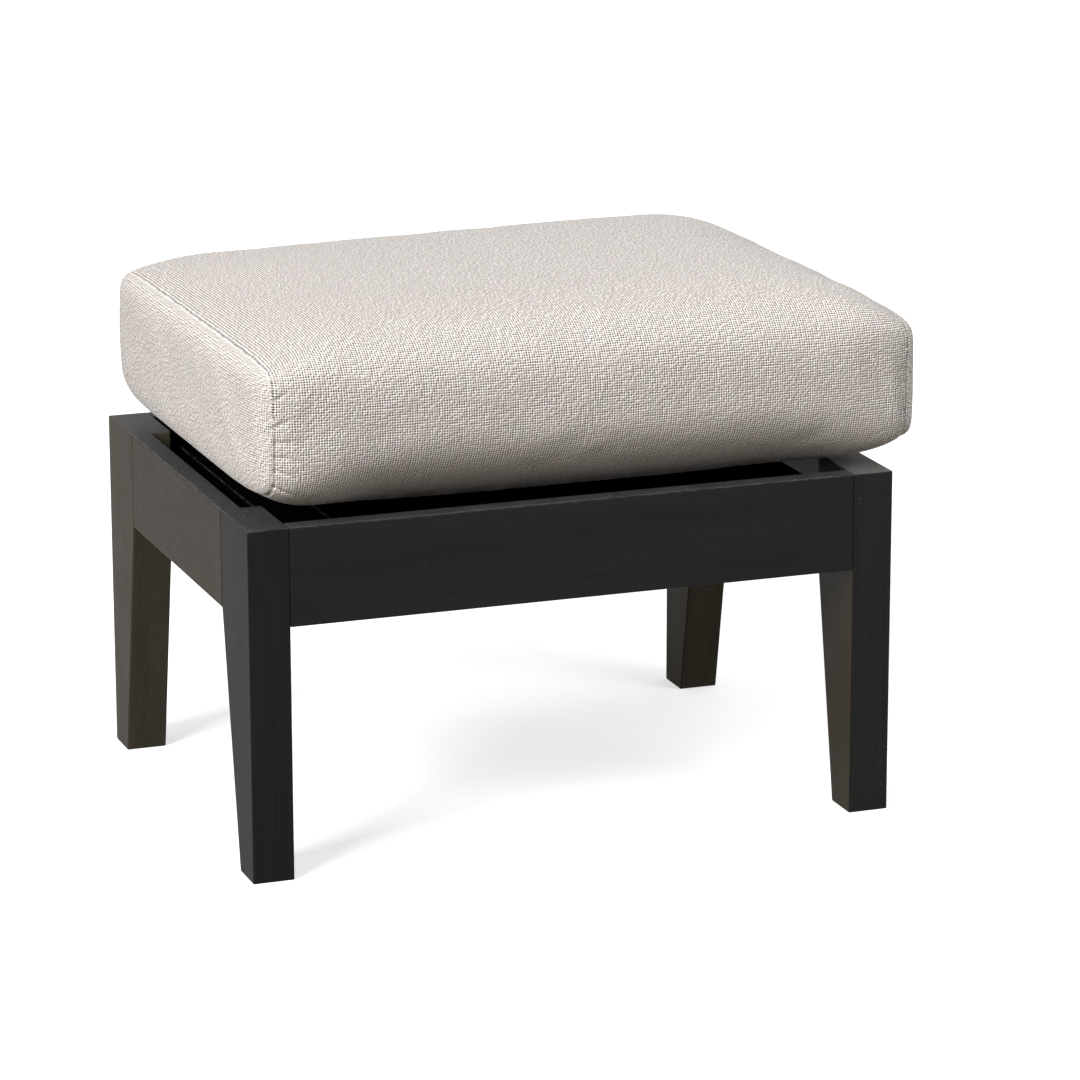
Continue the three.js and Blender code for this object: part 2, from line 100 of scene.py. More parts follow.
class Link:
    """An output socket. Python's operators on it add Math nodes."""

    def __init__(self, finish, socket):
        self.finish = finish
        self.socket = socket

    def maths(self, operation, *values):
        inputs = dict(enumerate(values))
        return self.finish.add("ShaderNodeMath", {"operation": operation}, inputs)

    def __add__(self, other):
        return self.maths("ADD", self, other)

    def __radd__(self, other):
        return self.maths("ADD", other, self)

    def __sub__(self, other):
        return self.maths("SUBTRACT", self, other)

    def __rsub__(self, other):
        return self.maths("SUBTRACT", other, self)

    def __mul__(self, other):
        return self.maths("MULTIPLY", self, other)

    def __rmul__(self, other):
        return self.maths("MULTIPLY", other, self)

    def __abs__(self):
        return self.maths("ABSOLUTE", self)

    def cosine(self):
        return self.maths("COSINE", self)

    def wave(self):
        """1 at every whole number, and 0 halfway between two of them."""
        return (self * (2 * math.pi)).cosine() * 0.5 + 0.5

    def least(self, other):
        return self.maths("MINIMUM", self, other)

    def most(self, other):
        return self.maths("MAXIMUM", self, other)

    def ramped(self, start, end):
        """0 before start and 1 after end, smooth between them."""
        settings = {"interpolation_type": "SMOOTHSTEP"}
        inputs = {"Value": self, "From Min": start, "From Max": end}
        return self.finish.add("ShaderNodeMapRange", settings, inputs)


class Tree:
    """A node tree, and the one way to add nodes to it."""

    def __init__(self, tree):
        self.tree = tree

    def add(self, kind, settings=None, inputs=None, output=0):
        """The output of a new node, whose settings come before its sockets' values."""
        node = self.tree.nodes.new(kind)
        for key, value in (settings or {}).items():
            setattr(node, key, value)
        for key, value in (inputs or {}).items():
            self.feed(node.inputs[key], value)
        return Link(self, node.outputs[output])

    def feed(self, socket, value):
        if isinstance(value, Link):
            self.tree.links.new(value.socket, socket)
        else:
            socket.default_value = value

    def seen_directly(self):
        """1 for what the camera, a mirror or a glass sees, and 0 for what lights the object."""
        path = self.add("ShaderNodeLightPath", output="Is Camera Ray")
        outputs = path.socket.node.outputs
        mirrored = Link(self, outputs["Is Glossy Ray"])
        through = Link(self, outputs["Is Transmission Ray"])
        return path.most(mirrored).most(through)


class Finish(Tree):
    """A material with one main shader, whose constants are set on its own sockets."""

    def __init__(self, name, **constants):
        self.material = bpy.data.materials.new(name)
        self.material.use_nodes = True
        super().__init__(self.material.node_tree)
        self.shader = self.tree.nodes["Principled BSDF"]
        self.output = self.tree.nodes["Material Output"]
        self.set(**constants)

    def set(self, **sockets):
        for socket, value in sockets.items():
            self.feed(self.shader.inputs[socket.replace("_", " ")], value)

    def place(self):
        """The point on the piece, in metres."""
        return self.add("ShaderNodeTexCoord", output="Object")

    def moved(self, vector, scale, offset=(0, 0, 0)):
        inputs = {"Vector": vector, "Scale": scale, "Location": offset}
        return self.add("ShaderNodeMapping", None, inputs)

    def parts(self, vector):
        """The three numbers of a vector."""
        first = self.add("ShaderNodeSeparateXYZ", None, {0: vector})
        return [Link(self, socket) for socket in first.socket.node.outputs]

    def noise(self, vector, scale, detail, roughness):
        inputs = {"Vector": vector, "Scale": scale, "Detail": detail, "Roughness": roughness}
        return self.add("ShaderNodeTexNoise", None, inputs)

    def chance(self, u, v):
        """A random number for each square of a grid."""
        point = self.add("ShaderNodeCombineXYZ", None, {"X": u, "Y": v})
        square = self.add("ShaderNodeVectorMath", {"operation": "FLOOR"}, {0: point})
        return self.add("ShaderNodeTexWhiteNoise", {"noise_dimensions": "2D"}, {"Vector": square})

    def mixed(self, factor, first, second):
        """A colour between two others."""
        pair = [(*colour, 1) if isinstance(colour, tuple) else colour for colour in (first, second)]
        inputs = {"Factor": factor, **dict(zip(MIX_COLOURS, pair))}
        return self.add("ShaderNodeMix", {"data_type": "RGBA"}, inputs, output=MIX_RESULT)

    def bump(self, height, distance, strength, onto=None):
        inputs = {"Height": height, "Distance": distance, "Strength": strength}
        if onto:
            inputs["Normal"] = onto
        return self.add("ShaderNodeBump", None, inputs)


def coat(piece, material):
    """Gives a piece one material in place of its own."""
    piece.data.materials.clear()
    piece.data.materials.append(material)


# Light, floor and background

WHITE = (1, 1, 1, 1)
ROOM_LIGHT = 0.22
FLOOR_COLOUR = (0.8, 0.8, 0.8, 1)
# The floor's colour in the light that it throws back at the object
FLOOR_BOUNCE = (0.085, 0.067, 0.047, 1)
FLOOR_SIZE = 60.0
# The floor's own glow, and the distances from the object over which it changes
NEAR_GLOW = (0.6, 0.6, 0.6)
FAR_GLOW = (0.9, 0.9, 0.9)
GLOW_CHANGES = (0.7, 3.0)
LIGHT_AIM = (0, 0, 0.3)
# Each softbox's place, width and power
SOFTBOXES = {
    "key": ((-4.6, -2.75, 3.3), 2.7, 470),
    "overhead": ((0.5, 0.2, 3.2), 2.4, 32),
    "fill": ((1.7, -1.6, 1.3), 1.2, 21),
}


def add_room():
    world = bpy.data.worlds.new("room")
    bpy.context.scene.world = world
    world.use_nodes = True
    room = Tree(world.node_tree)
    strength = room.seen_directly() * (1 - ROOM_LIGHT) + ROOM_LIGHT
    background = world.node_tree.nodes["Background"]
    room.feed(background.inputs["Color"], WHITE)
    room.feed(background.inputs["Strength"], strength)


def add_softbox(name, place, width, power):
    light = bpy.data.lights.new(name, "AREA")
    light.shape = "RECTANGLE"
    light.size = light.size_y = width
    light.energy = power
    box = bpy.data.objects.new(name, light)
    box.location = place
    box.rotation_euler = (Vector(LIGHT_AIM) - Vector(place)).to_track_quat("-Z", "Y").to_euler()
    put_in_scene(box)


def add_floor():
    bpy.ops.mesh.primitive_plane_add(size=FLOOR_SIZE)
    floor = bpy.context.object
    floor.name = "floor"
    finish = Finish("floor", Base_Color=FLOOR_COLOUR, Roughness=1.0, Specular_IOR_Level=0.0)
    away = finish.add("ShaderNodeVectorMath", {"operation": "LENGTH"}, {0: finish.place()}, "Value")
    glow = finish.mixed(away.ramped(*GLOW_CHANGES), NEAR_GLOW, FAR_GLOW)
    finish.set(Emission_Color=glow, Emission_Strength=1.0)
    pale = Link(finish, finish.shader.outputs[0])
    dull = finish.add("ShaderNodeBsdfDiffuse", None, {"Color": FLOOR_BOUNCE})
    inputs = {0: finish.seen_directly(), 1: dull, 2: pale}
    both = finish.add("ShaderNodeMixShader", None, inputs)
    finish.feed(finish.output.inputs["Surface"], both)
    floor.data.materials.append(finish.material)


# Wood

STAIN_DARK = (0.008, 0.008, 0.0081)
STAIN_LIGHT = (0.0145, 0.0143, 0.014)
# Painted warm light on the wood's faces turned to the left, towards the key lamp
PAINTED_SIDE_LIGHT_WOOD = (0.018, 0.0115, 0.0045)
# Paler wood on upper edges: wear, and a painted highlight where light catches them
WORN_AND_HIGHLIT_WOOD = (0.14, 0.135, 0.125)
# Upward faces: grey dust, with painted sheen that stands for their glossy reflection of the pale room
DUST_AND_SHEEN = (0.075, 0.077, 0.08)
LINT = (0.5, 0.5, 0.48)
STAIN_GLOSS = 0.08
EDGE_ROUNDING = 1.5 * MM
EDGE_SAMPLES = 6
# Each pattern's scale along and across the grain, its detail and its roughness
GRAIN = (9, 420, 4, 0.6)
FIGURE = (3, 38, 3, 0.5)
SCUFFS = (70, 70, 5, 0.75)
SETTLED_DUST = (25, 25, 4, 0.65)
SPECKS = (420, 420, 1, 0.5)
# Each piece shows its own part of the patterns
PATTERN_SHIFT = 9
# The values between which each of these comes to show
STAIN_SHOWS = (0.3, 0.72)
RIDGES_SHOW = (0.35, 0.7)
SCUFFS_SHOW = (0.36, 0.6)
SPECKS_SHOW = (0.73, 0.78)
LINT_GATHERS = (0.5, 0.68)
EDGE_SHOWS = (0.003, 0.07)
UPPER_EDGE_SHOWS = (0.02, 0.12)
SIDE_SHOWS = (0.8, 0.95)
# Shares in which they show
# Share of wear and painted highlight on upper edges
WEAR_AND_HIGHLIGHT = 0.75
TOP_LINT = 0.6
GATHERED_LINT = 0.14
# Least share of dust and painted sheen on upward faces
LEAST_DUST_AND_SHEEN = 0.1
# Least share of the painted side light, and how much the wood's figure adds to it
LEAST_SIDE_LIGHT = 0.6
SIDE_LIGHT_BY_FIGURE = 0.6
WOOD_ROUGHNESS = 0.4
GRAIN_ROUGHNESS = 0.15
DUST_ROUGHNESS = 0.1
GRAIN_DEPTH = 0.1 * MM
GRAIN_STRENGTH = 0.2
# Pieces under the cushion, which get no dust, no painted sheen, no lint and no painted side light
COVERED_PIECES = ("seat_slat", "slat_rail", "corner_block")
# The right legs' inner faces above the aprons' lower edge lie in shade inside the frame, so their
# painted side light fades out there
apron_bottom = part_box("apron_front")[0].z
SHADE_FADE = 10 * MM
# Pieces whose stain dried to another gloss
OWN_GLOSS = {
    "leg_front_left": 0.05,
    "leg_back_right": 0.05,
    "seat_slat": 0,
    "slat_rail": 0,
}
# How much painted side light a piece gets, where it gets less than the others
OWN_SIDE_LIGHT = {"leg_front_left": 0.2, "apron_right": 0}
# The deck under the cushion is painted darker, as painted shade, and the back legs are coloured
# lighter
DECK_PAINTED_SHADE = ((0.0025, 0.0025, 0.0025), (0.0025, 0.0025, 0.0025))
OWN_WOOD_TONES = {
    "leg_back": ((0.04, 0.034, 0.024), (0.062, 0.054, 0.04)),
    "seat_slat": DECK_PAINTED_SHADE,
    "slat_rail": DECK_PAINTED_SHADE,
}
# One leg's top is painted lighter: more dust, and more painted sheen
OWN_DUST_AND_SHEEN = {"leg_front_right": (0.19, 0.185, 0.175)}
GRAIN_AXIS = {
    "leg_front": "z",
    "leg_back": "z",
    "corner_block": "z",
    "apron_left": "y",
    "apron_right": "y",
    "apron": "x",
    "slat_rail": "x",
    "seat_slat": "y",
}


def own_value(values, name, usual):
    """The value kept for a piece's kind, if there is one, or the usual value."""
    own = [value for start, value in values.items() if name.startswith(start)]
    return own[0] if own else usual


def upper_edges(finish, facing, rounded):
    """1 on edges that look upwards."""
    both = {0: rounded, 1: facing}
    alike = finish.add("ShaderNodeVectorMath", {"operation": "DOT_PRODUCT"}, both, "Value")
    _, _, upwards = finish.parts(rounded)
    return (1 - alike).ramped(*EDGE_SHOWS) * upwards.ramped(*UPPER_EDGE_SHOWS)


def stained_wood(name, along):
    """Black stain with grain along one axis: dust and painted sheen on top, wear and painted
    highlights on upper edges, painted warm light on faces turned to the left.
    """
    gloss = own_value(OWN_GLOSS, name, STAIN_GLOSS)
    dust_and_sheen = own_value(OWN_DUST_AND_SHEEN, name, DUST_AND_SHEEN)
    exposed = 0 if name.startswith(COVERED_PIECES) else 1
    side_light_weight = own_value(OWN_SIDE_LIGHT, name, exposed)
    darkest, lightest = own_value(OWN_WOOD_TONES, name, (STAIN_DARK, STAIN_LIGHT))
    finish = Finish(f"stained_wood_{name}", Specular_IOR_Level=gloss)
    scatter = random.Random(name)
    offset = tuple(scatter.uniform(-PATTERN_SHIFT, PATTERN_SHIFT) for _ in range(3))
    point = finish.place()

    def pattern(lengthways, crossways, detail, roughness):
        scale = tuple(lengthways if axis == along else crossways for axis in "xyz")
        return finish.noise(finish.moved(point, scale, offset), 1, detail, roughness)

    grain = pattern(*GRAIN)
    figure = pattern(*FIGURE)
    stain = finish.mixed((grain * 0.5 + figure * 0.5).ramped(*STAIN_SHOWS), darkest, lightest)
    facing = finish.add("ShaderNodeNewGeometry", output="Normal")
    towards_right, _, upwards = finish.parts(facing)
    # Painted side light: faces turned to the left are coloured warm, more where the figure is light
    side_light_mask = (0 - towards_right).ramped(*SIDE_SHOWS) * (figure * SIDE_LIGHT_BY_FIGURE + LEAST_SIDE_LIGHT)
    if name.endswith("right"):
        _, _, height = finish.parts(point)
        side_light_mask = side_light_mask * (1 - height.ramped(apron_bottom, apron_bottom + SHADE_FADE))
    side_lit_colour = finish.mixed(side_light_mask.least(1) * side_light_weight, stain, PAINTED_SIDE_LIGHT_WOOD)
    top = upwards.ramped(*SIDE_SHOWS) * exposed
    settled = pattern(*SETTLED_DUST)
    # Upward faces are lightened, partly with dust and partly with painted sheen
    dusty_and_sheened = finish.mixed(top * (settled * (1 - LEAST_DUST_AND_SHEEN) + LEAST_DUST_AND_SHEEN), side_lit_colour, dust_and_sheen)
    rounded = finish.add("ShaderNodeBevel", {"samples": EDGE_SAMPLES}, {"Radius": EDGE_ROUNDING})
    # Upper edges are paler: wear, and a painted highlight
    worn_and_highlit = upper_edges(finish, facing, rounded) * pattern(*SCUFFS).ramped(*SCUFFS_SHOW)
    scuffed_and_highlit = finish.mixed(worn_and_highlit * WEAR_AND_HIGHLIGHT, dusty_and_sheened, WORN_AND_HIGHLIT_WOOD)
    gathered = settled.ramped(*LINT_GATHERS) * GATHERED_LINT * exposed
    lint = pattern(*SPECKS).ramped(*SPECKS_SHOW) * (top * TOP_LINT + gathered)
    finish.set(Base_Color=finish.mixed(lint, scuffed_and_highlit, LINT))
    finish.set(Roughness=WOOD_ROUGHNESS + grain * GRAIN_ROUGHNESS + settled * DUST_ROUGHNESS)
    ridges = grain.ramped(*RIDGES_SHOW)
    finish.set(Normal=finish.bump(ridges, GRAIN_DEPTH, GRAIN_STRENGTH, rounded))
    return finish.material


def stain_frame():
    for name, node in nodes.items():
        along = own_value(GRAIN_AXIS, name, None)
        if along:
            coat(node, stained_wood(name, along))


# Plain finishes of metal, raw wood, foam and nylon

# Each one's colour, roughness and metallic share, how far its mottle darkens it and its scale
BARE_WOOD = ((0.52, 0.36, 0.2), 0.75, 0.0, 0.35, 500)
ZINC = ((0.62, 0.62, 0.61), 0.36, 1.0, 0.2, 900)
BRASS = ((0.72, 0.53, 0.25), 0.32, 1.0, 0.2, 900)
FOAM = ((0.82, 0.77, 0.65), 0.9, 0.0, 0.15, 300)
ZIP_NYLON = ((0.72, 0.67, 0.62), 0.4, 0.0, 0.2, 900)
ZIP_STEEL = ((0.45, 0.44, 0.42), 0.38, 1.0, 0.25, 900)
MOTTLE_DETAIL = 3
MOTTLE_ROUGHNESS = 0.6
GLOSS_CHANGE = 0.2
FASTENER_FINISHES = {
    "dowel": BARE_WOOD,
    "block_bolt": ZINC,
    "block_screw": ZINC,
    "rail_screw": ZINC,
    "slat_screw": ZINC,
    "leg_insert": BRASS,
}


def plain_finish(name, colour, roughness, metallic, darkening, scale):
    """One colour with a fine mottle."""
    finish = Finish(name, Metallic=metallic)
    mottle = finish.noise(finish.place(), scale, MOTTLE_DETAIL, MOTTLE_ROUGHNESS)
    darker = tuple(part * (1 - darkening) for part in colour)
    finish.set(Base_Color=finish.mixed(mottle, darker, colour))
    finish.set(Roughness=roughness + (mottle - 0.5) * GLOSS_CHANGE)
    return finish.material


def finish_fasteners():
    for start, settings in FASTENER_FINISHES.items():
        material = plain_finish(start, *settings)
        for name, node in nodes.items():
            if name.startswith(start):
                coat(node, material)


# Cushion shape: a box of cloth whose wrap panel is crowned and whose end panels bulge.
# A point has three shares of the half sizes: s from seam to seam, t in depth and w in height.

wrap_low, wrap_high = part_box("cushion_wrap_panel")
end_low, end_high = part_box("cushion_end_panel_left")
cushion_middle = Vector((
    (wrap_low.x + wrap_high.x) / 2,
    (wrap_low.y + wrap_high.y) / 2,
    (end_low.z + end_high.z) / 2,
))
SEAM_X = (wrap_high.x - wrap_low.x) / 2
MIDDLE_HALF_DEPTH = (wrap_high.y - wrap_low.y) / 2
SEAM_HALF_DEPTH = (end_high.y - end_low.y) / 2
SEAM_HALF_HEIGHT = (end_high.z - end_low.z) / 2
END_BULGE = wrap_low.x - end_low.x
REST_DROP = cushion_middle.z - wrap_low.z
# Each half's rise at the middle, the power of the rise along s, the section's squareness at the
# middle and at the seams, and how far the half leans
TOP_HALF = (33 * MM, 6, 3.9, 9.5, 1)
BOTTOM_HALF = (47 * MM, 5, 2.05, 7, 0)
# By which shares a leaning half rises more towards the right and towards the front
RIGHT_LEAN = 0.15
FRONT_LEAN = 0.15
# How near to the seams the sides draw in and the section turns squarer
DRAW_POWER = 8
ROUNDING_POWER = 8
# How near to its rim each end panel bulges, and the swell's power
LEFT_END = (5, 0.5)
RIGHT_END = (8, 0.35)
# How near to its rim an end panel takes the wrap panel's outline
RIM_POWER = 6

# Cushion cloth

THREAD_PITCH = 2.25 * MM
YARN_PINK = (0.975, 0.9, 0.875)
YARN_GREEN = (0.955, 0.92, 0.865)
YARN_DULL = (0.62, 0.565, 0.53)
HOLE_PAINTED_SHADE = (0.025, 0.018, 0.014)
CLOTH_GLOSS = 0.2
CLOTH_ROUGHNESS = 0.85
HOLE_ROUGHNESS = 0.1
HOLE_DEPTH = 0.1 * MM
HOLE_STRENGTH = 0.05
# How far the threads wander, and how often, counted in threads
WANDER = 0.6
WANDER_SCALE = 0.12
HOLES_SHOW = (0.02, 0.36)
# A hole's opening: how much of it is chance, and the least of it on each kind of panel
CHANCE_OPEN = 0.9
# The wrap panel's holes are painted darker than the end panels', for the deeper shade that grazing
# light leaves in them
WRAP_LEAST_OPEN = 0.45
END_LEAST_OPEN = 0.25
# The yarn is a heather: flecks for each crossing along a thread, and their share in its tone
FLECK_COUNT = 0.3
FLECK_TONE = 0.1
CROSSING_TONE = 0.6
TONE_SHOWS = (0.05, 0.75)
# The bright yarn drifts slowly between pink and green
DRIFT_SCALE = (30, 30, 1)
DRIFT_SHOWS = (0.38, 0.62)
# The dark line of painted shade in a seam's crease: its edges' distances from the seam, its dots'
# turn for each thread, and the shares of the half height over which it turns to dots and then ends
SEAM_LINE_EDGES = (0.5 * MM, 1.2 * MM)
SEAM_DOTS_TURN = math.pi * 1.4
SEAM_DOTS_SHOW = (0, 0.6)
SEAM_DOTS_SHARE = 0.8
SEAM_DOTTED_FROM = (-0.1, 0.4)
SEAM_LINE_ENDS = (0.75, 0.95)
SEAM_LINE_SHARE = 0.7
SEAM_PAINTED_SHADE = (0.12, 0.1, 0.085)


def painted_seam_line(finish, v):
    """1 on the dark line of painted shade in each seam of the wrap panel, which is dotted higher up.
    """
    shares = finish.add("ShaderNodeAttribute", {"attribute_name": "shares"}, output="Vector")
    s, _, w = finish.parts(shares)
    line = 1 - ((1 - abs(s)) * SEAM_X).ramped(*SEAM_LINE_EDGES)
    dots = (v * SEAM_DOTS_TURN).cosine().ramped(*SEAM_DOTS_SHOW) * SEAM_DOTS_SHARE
    dotted = 1 - w.ramped(*SEAM_DOTTED_FROM) * (1 - dots)
    return line * dotted * (1 - w.ramped(*SEAM_LINE_ENDS))


def woven_cloth(name, on_wrap, least_open):
    """A plain weave of light yarn: round each crossing of two yarns lie four small holes, painted
    dark with the shade inside them.
    """
    finish = Finish(name, Specular_IOR_Level=CLOTH_GLOSS, Sheen_Weight=0.12, Sheen_Roughness=0.5)
    uv = finish.add("ShaderNodeUVMap", {"uv_map": "weave"})
    threads = finish.moved(uv, (1 / THREAD_PITCH, 1 / THREAD_PITCH, 1))
    wander = (finish.noise(threads, WANDER_SCALE, 2, 0.5) - 0.5) * WANDER
    u, v, _ = finish.parts(threads)
    u = u + wander
    v = v - wander
    openness = finish.chance(u + 0.5, v + 0.5) * CHANCE_OPEN + least_open
    hole = (u.wave() * v.wave()).ramped(*HOLES_SHOW) * openness.least(1)
    along_u = finish.chance(u * FLECK_COUNT, v)
    along_v = finish.chance(u, v * FLECK_COUNT)
    tone = finish.chance(u, v) * CROSSING_TONE + along_u * FLECK_TONE + along_v * FLECK_TONE
    drift = finish.noise(finish.moved(uv, DRIFT_SCALE), 1, 4, 0.7)
    bright = finish.mixed(drift.ramped(*DRIFT_SHOWS), YARN_PINK, YARN_GREEN)
    yarn = finish.mixed(tone.ramped(*TONE_SHOWS), YARN_DULL, bright)
    # The holes take their painted shade
    colour = finish.mixed(hole, yarn, HOLE_PAINTED_SHADE)
    # A dark line of painted shade along each seam's crease
    if on_wrap:
        colour = finish.mixed(painted_seam_line(finish, v) * SEAM_LINE_SHARE, colour, SEAM_PAINTED_SHADE)
    finish.set(Base_Color=colour, Roughness=CLOTH_ROUGHNESS + hole * HOLE_ROUGHNESS)
    finish.set(Normal=finish.bump(1 - hole, HOLE_DEPTH, HOLE_STRENGTH))
    return finish.material


# The cushion's skin

CELLS_LONG = 64
CELLS_DEEP = 48
CELLS_HIGH = 64
# How far the cells crowd towards the edges, from 0 for even cells
LONG_CROWDING = 0.9
DEEP_CROWDING = 0.6
HIGH_CROWDING = 0.2
PANELS = ["wrap", "left", "right"]


def spaced(count, crowding):
    """Steps from -1 to 1 that lie closer together at both ends."""
    even = [2 * step / count - 1 for step in range(count + 1)]
    return [(1 - crowding) * e + crowding * math.sin(math.pi / 2 * e) for e in even]


def band_point(s, t, w):
    """A point on the wrap panel, s along it from seam to seam and (t, w) round it."""
    rise, rise_power, middle_squareness, seam_squareness, leaning = TOP_HALF if w > 0 else BOTTOM_HALF
    draw = 1 - abs(s) ** DRAW_POWER
    rounding = 1 - abs(s) ** ROUNDING_POWER
    half_depth = SEAM_HALF_DEPTH + (MIDDLE_HALF_DEPTH - SEAM_HALF_DEPTH) * draw
    squareness = seam_squareness + (middle_squareness - seam_squareness) * rounding
    size = (abs(t) ** squareness + abs(w) ** squareness) ** (1 / squareness)
    lean = 1 + leaning * (RIGHT_LEAN * s - FRONT_LEAN * t / size)
    half_height = SEAM_HALF_HEIGHT + rise * (1 - abs(s) ** rise_power) * lean
    height = max(half_height * w / size, -REST_DROP)
    return Vector((s * SEAM_X, half_depth * t / size, height))


def end_point(s, t, w):
    """A point on an end panel, which meets the wrap panel where t or w is 1 or -1."""
    reach = max(abs(t), abs(w))
    if reach == 0:
        return Vector((s * (SEAM_X + END_BULGE), 0, 0))
    rim = band_point(s, t / reach, w / reach)
    straight = Vector((rim.x, SEAM_HALF_DEPTH * t, SEAM_HALF_HEIGHT * w))
    point = straight.lerp(rim * reach, reach ** RIM_POWER)
    bulge_power, swell_power = RIGHT_END if s > 0 else LEFT_END
    rise = (1 - abs(t) ** bulge_power) * (1 - abs(w) ** bulge_power)
    point.x = s * (SEAM_X + END_BULGE * rise ** swell_power)
    return point


def shell_lattice():
    """The cushion's skin: its points with their shares, and its faces with their panels."""
    xs = spaced(CELLS_LONG, LONG_CROWDING)
    ys = spaced(CELLS_DEEP, DEEP_CROWDING)
    zs = spaced(CELLS_HIGH, HIGH_CROWDING)
    points = {}
    faces = []

    def point(i, j, k):
        if (i, j, k) not in points:
            s, t, w = xs[i], ys[j], zs[k]
            on_end = abs(s) == 1 and max(abs(t), abs(w)) < 1
            made = end_point(s, t, w) if on_end else band_point(s, t, w)
            points[i, j, k] = (len(points), made, Vector((s, t, w)))
        return points[i, j, k][0]

    def face(corners, flip, panel):
        ring = [point(*corner) for corner in corners]
        faces.append((ring[::-1] if flip else ring, panel))

    for i in range(CELLS_LONG):
        for j in range(CELLS_DEEP):
            for k, flip in ((CELLS_HIGH, False), (0, True)):
                face([(i, j, k), (i + 1, j, k), (i + 1, j + 1, k), (i, j + 1, k)], flip, "wrap")
        for k in range(CELLS_HIGH):
            for j, flip in ((0, False), (CELLS_DEEP, True)):
                face([(i, j, k), (i + 1, j, k), (i + 1, j, k + 1), (i, j, k + 1)], flip, "wrap")
    for j in range(CELLS_DEEP):
        for k in range(CELLS_HIGH):
            for i, flip, panel in ((CELLS_LONG, False, "right"), (0, True, "left")):
                face([(i, j, k), (i, j + 1, k), (i, j + 1, k + 1), (i, j, k + 1)], flip, panel)
    return list(points.values()), faces


# The way round the wrap panel, from the back's middle over the top, down the front and back

RIM_SHARE = 8
RIM_STEPS = 320


def rim_share(t, w):
    """How far round the rim a point lies: 0 at the back's middle, 4 at the front's, up to 8."""
    if t >= abs(w):
        return w if w >= 0 else RIM_SHARE + w
    if w >= abs(t):
        return 2 - t
    if -t >= abs(w):
        return 4 - w
    return 6 + t


def rim_directions(share):
    """The point of the unit square that lies a share round it."""
    if share <= 1:
        return 1, share
    if share <= 3:
        return 2 - share, 1
    if share <= 5:
        return -1, 4 - share
    if share <= 7:
        return share - 6, -1
    return 1, share - RIM_SHARE


@lru_cache(maxsize=None)
def rim_lengths(s):
    """The way's length at even steps of the share, this far along the cushion."""
    shares = [RIM_SHARE * step / RIM_STEPS for step in range(RIM_STEPS + 1)]
    places = [band_point(s, *rim_directions(share)) for share in shares]
    return way_lengths(places)


def way_lengths(places):
    """The length of a way up to each of its places."""
    return list(accumulate(((b - a).length for a, b in zip(places, places[1:])), initial=0))


def read_length(lengths, share):
    """The length at a share of a way, whose lengths are known at even steps."""
    step = share * (len(lengths) - 1)
    index = min(int(step), len(lengths) - 2)
    return lengths[index] + (lengths[index + 1] - lengths[index]) * (step - index)


def rim_distance(s, share):
    """Metres round the wrap panel from the front's middle, where a thread runs straight along."""
    lengths = rim_lengths(s)
    return read_length(lengths, share / RIM_SHARE) - lengths[RIM_STEPS // 2]


@lru_cache(maxsize=None)
def end_lengths(side):
    """The lengths over an end panel from its middle to its rim, sideways and upwards."""
    shares = [step / RIM_STEPS for step in range(RIM_STEPS + 1)]
    sideways = [end_point(side, share, 0) for share in shares]
    upwards = [end_point(side, 0, share) for share in shares]
    return way_lengths(sideways), way_lengths(upwards)


def end_place(side, t, w):
    """Where a point of an end panel lies on the flat cloth."""
    sideways, upwards = end_lengths(side)
    across = math.copysign(read_length(sideways, abs(t)), t)
    return across, math.copysign(read_length(upwards, abs(w)), w)


def thread_places(ring, panel, shares):
    """Where a face's corners lie on the flat cloth."""
    corners = [shares[number] for number in ring]
    if panel != "wrap":
        return [end_place(s, t, w) for s, t, w in corners]
    rounds = [rim_share(t, w) for _, t, w in corners]
    if max(rounds) - min(rounds) > RIM_SHARE / 2:
        rounds = [r + RIM_SHARE if r < RIM_SHARE / 2 else r for r in rounds]
    return [(s * SEAM_X, rim_distance(s, r)) for (s, _, _), r in zip(corners, rounds)]


def write_vectors(mesh, name, vectors):
    """Keeps a vector with each point of a mesh."""
    kept = mesh.attributes.new(name, "FLOAT_VECTOR", "POINT")
    for item, vector in zip(kept.data, vectors):
        item.vector = vector


def read_vectors(mesh, name):
    return [item.vector.copy() for item in mesh.attributes[name].data]


def build_shell():
    points, faces = shell_lattice()
    shares = [share for _, _, share in points]
    mesh = bpy.data.meshes.new("cushion_shell")
    mesh.from_pydata([p + cushion_middle for _, p, _ in points], [], [ring for ring, _ in faces])
    shell = bpy.data.objects.new("cushion_shell", mesh)
    put_in_scene(shell)
    write_vectors(mesh, "shares", shares)
    mesh.attributes.new("panel", "INT", "FACE")
    weave = mesh.uv_layers.new(name="weave")
    panel_numbers = mesh.attributes["panel"].data
    for polygon, (ring, panel) in zip(mesh.polygons, faces):
        panel_numbers[polygon.index].value = PANELS.index(panel)
        for loop, place in zip(polygon.loop_indices, thread_places(ring, panel, shares)):
            weave.data[loop].uv = place
    return shell


# Cushion: the cover is blown up against seams that are drawn tight

START_INSET = 4 * MM
# The cloth shrinks by shrink_max at its seams, and grows a little elsewhere
SWELL_SETTINGS = {
    "quality": 5,
    "mass": 0.3,
    "bending_stiffness": 0.05,
    "use_pressure": True,
    "uniform_pressure_force": 4,
    "vertex_group_mass": "held",
    "shrink_min": -0.01,
    "vertex_group_shrink": "seam",
    "shrink_max": 0.05,
}
ON_SEAM = 1 * MM
SWELL_FRAMES = 20
# Averaging the moves this often leaves the swelling, and the folds are what it takes away
EVENING_ROUNDS = 30
FOLD_SHARE = 0.26
FOLD_CAP = 4 * MM
# Heights above the frame's top where the cover starts to move and where it is free
FREE_HEIGHTS = (6 * MM, 40 * MM)
ZIP_MARGIN = 30 * MM
